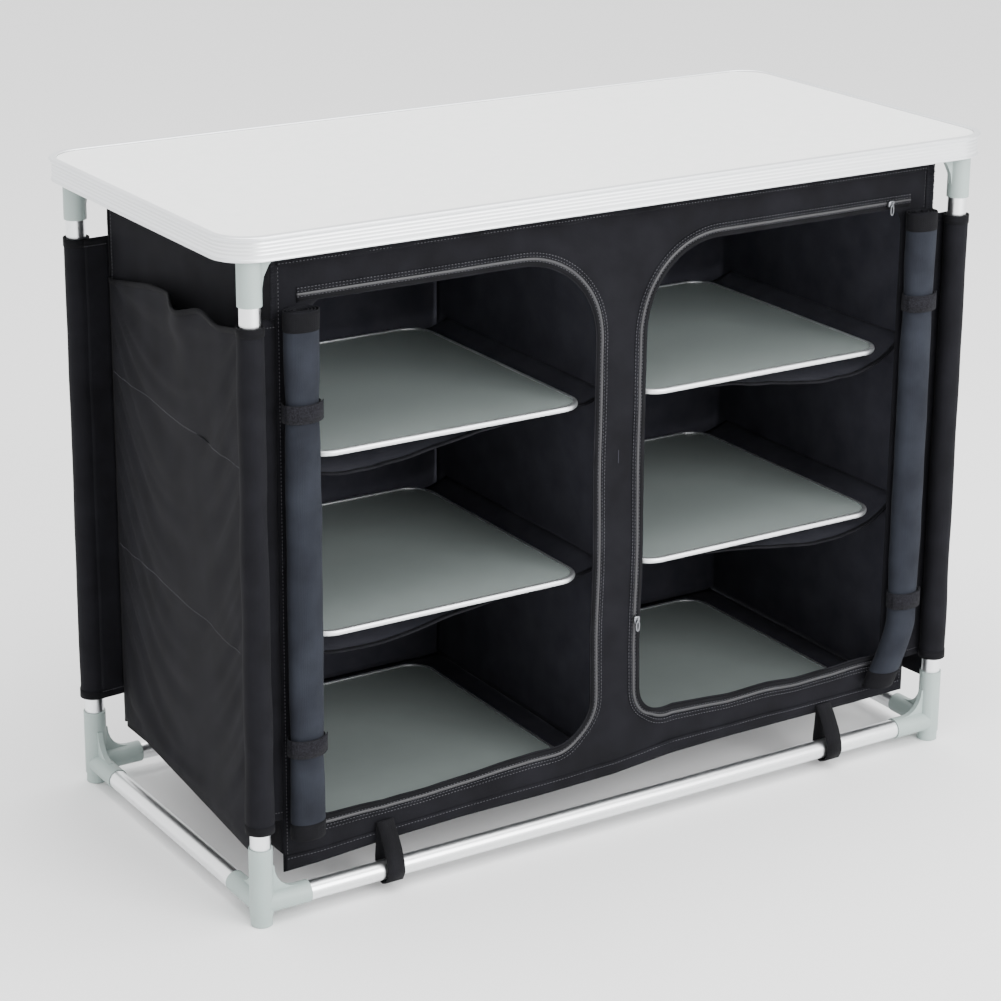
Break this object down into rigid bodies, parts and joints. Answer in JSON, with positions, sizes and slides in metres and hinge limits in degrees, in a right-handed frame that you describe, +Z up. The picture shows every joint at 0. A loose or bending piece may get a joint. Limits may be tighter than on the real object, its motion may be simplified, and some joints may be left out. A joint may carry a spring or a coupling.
{
  "type": "camp kitchen table",
  "caption": "Folding camp kitchen: a laminate top with aluminium edging on a plug-together tube frame, over a sewn two-bay bag with zipped doorways and loose shelves.",
  "frame": {"origin": "on the ground, under the middle of the tabletop", "axes": "+X to the right along the table, +Y to the back, +Z up; the doorways face -Y"},
  "size_m": [0.98, 0.46, 0.75],
  "materials": {
    "board_laminate": "pale off-white laminate with a fine grain, satin",
    "brushed_aluminium": "extruded aluminium, satin, with fine ribs along the skirt",
    "tube_aluminium": "drawn aluminium tube, satin, anodised",
    "grey_plastic": "moulded grey-green plastic, satin",
    "screw_steel": "zinc-plated steel",
    "black_polyester": "coated woven polyester, black, matt",
    "slate_polyester": "coated woven polyester, slate grey, matt",
    "black_webbing": "ribbed polyester webbing, black",
    "shelf_laminate": "grey-green laminate, satin",
    "zip_metal": "zip slider, plated"
  },
  "bodies": {
    "frame": {"bag_back": "black_polyester", "bag_divider": "black_polyester", "bag_floor": "black_polyester", "bag_front": "black_polyester", "bag_side_left": "black_polyester", "bag_side_right": "black_polyester", "door_roll_left": "slate_polyester", "door_roll_right": "slate_polyester", "foot_back_left": "grey_plastic", "foot_back_right": "grey_plastic", "foot_front_left": "grey_plastic", "foot_front_right": "grey_plastic", "pocket_left": "black_polyester", "pocket_right": "black_polyester", "post_back_left": "tube_aluminium", "post_back_right": "tube_aluminium", "post_front_left": "tube_aluminium", "post_front_right": "tube_aluminium", "rail_back": "tube_aluminium", "rail_front": "tube_aluminium", "rail_left": "tube_aluminium", "rail_loop_left": "black_webbing", "rail_loop_right": "black_webbing", "rail_right": "tube_aluminium", "sleeve_back_left": "black_polyester", "sleeve_back_right": "black_polyester", "sleeve_front_left": "black_polyester", "sleeve_front_right": "black_polyester", "sling_middle_left": "black_polyester", "sling_middle_right": "black_polyester", "sling_upper_left": "black_polyester", "sling_upper_right": "black_polyester", "strap_lower_left": "black_webbing", "strap_lower_right": "black_webbing", "strap_upper_left": "black_webbing", "strap_upper_right": "black_webbing"},
    "tabletop": {"socket_back_left": "grey_plastic", "socket_back_right": "grey_plastic", "socket_front_left": "grey_plastic", "socket_front_right": "grey_plastic", "socket_screw_back_left": "screw_steel", "socket_screw_back_right": "screw_steel", "socket_screw_front_left": "screw_steel", "socket_screw_front_right": "screw_steel", "tabletop_board": "board_laminate", "tabletop_edging": "brushed_aluminium"},
    "shelf_bottom_left": {"shelf_board_bottom_left": "shelf_laminate", "shelf_rim_bottom_left": "brushed_aluminium"},
    "shelf_bottom_right": {"shelf_board_bottom_right": "shelf_laminate", "shelf_rim_bottom_right": "brushed_aluminium"},
    "shelf_middle_left": {"shelf_board_middle_left": "shelf_laminate", "shelf_rim_middle_left": "brushed_aluminium"},
    "shelf_middle_right": {"shelf_board_middle_right": "shelf_laminate", "shelf_rim_middle_right": "brushed_aluminium"},
    "shelf_upper_left": {"shelf_board_upper_left": "shelf_laminate", "shelf_rim_upper_left": "brushed_aluminium"},
    "shelf_upper_right": {"shelf_board_upper_right": "shelf_laminate", "shelf_rim_upper_right": "brushed_aluminium"},
    "zip_slider_side": {"zip_slider_side": "zip_metal"},
    "zip_slider_top": {"zip_slider_top": "zip_metal"}
  },
  "joints": [
    {"name": "tabletop_lift", "type": "slide", "parent": "frame", "child": "tabletop", "axis": [0, 0, 1], "range_m": [0, 0.06]},
    {"name": "shelf_upper_left_slide", "type": "slide", "parent": "frame", "child": "shelf_upper_left", "axis": [0, -1, 0], "range_m": [0, 0.36]},
    {"name": "shelf_upper_right_slide", "type": "slide", "parent": "frame", "child": "shelf_upper_right", "axis": [0, -1, 0], "range_m": [0, 0.36]},
    {"name": "shelf_middle_left_slide", "type": "slide", "parent": "frame", "child": "shelf_middle_left", "axis": [0, -1, 0], "range_m": [0, 0.36]},
    {"name": "shelf_middle_right_slide", "type": "slide", "parent": "frame", "child": "shelf_middle_right", "axis": [0, -1, 0], "range_m": [0, 0.36]},
    {"name": "shelf_bottom_left_lift", "type": "slide", "parent": "frame", "child": "shelf_bottom_left", "axis": [0, 0, 1], "range_m": [0, 0.12]},
    {"name": "shelf_bottom_right_lift", "type": "slide", "parent": "frame", "child": "shelf_bottom_right", "axis": [0, 0, 1], "range_m": [0, 0.12]},
    {"name": "zip_slider_top_run", "type": "slide", "parent": "frame", "child": "zip_slider_top", "axis": [-1, 0, 0], "range_m": [0, 0.23]},
    {"name": "zip_slider_side_run", "type": "slide", "parent": "frame", "child": "zip_slider_side", "axis": [0, 0, 1], "range_m": [-0.04, 0.32]}
  ]
}
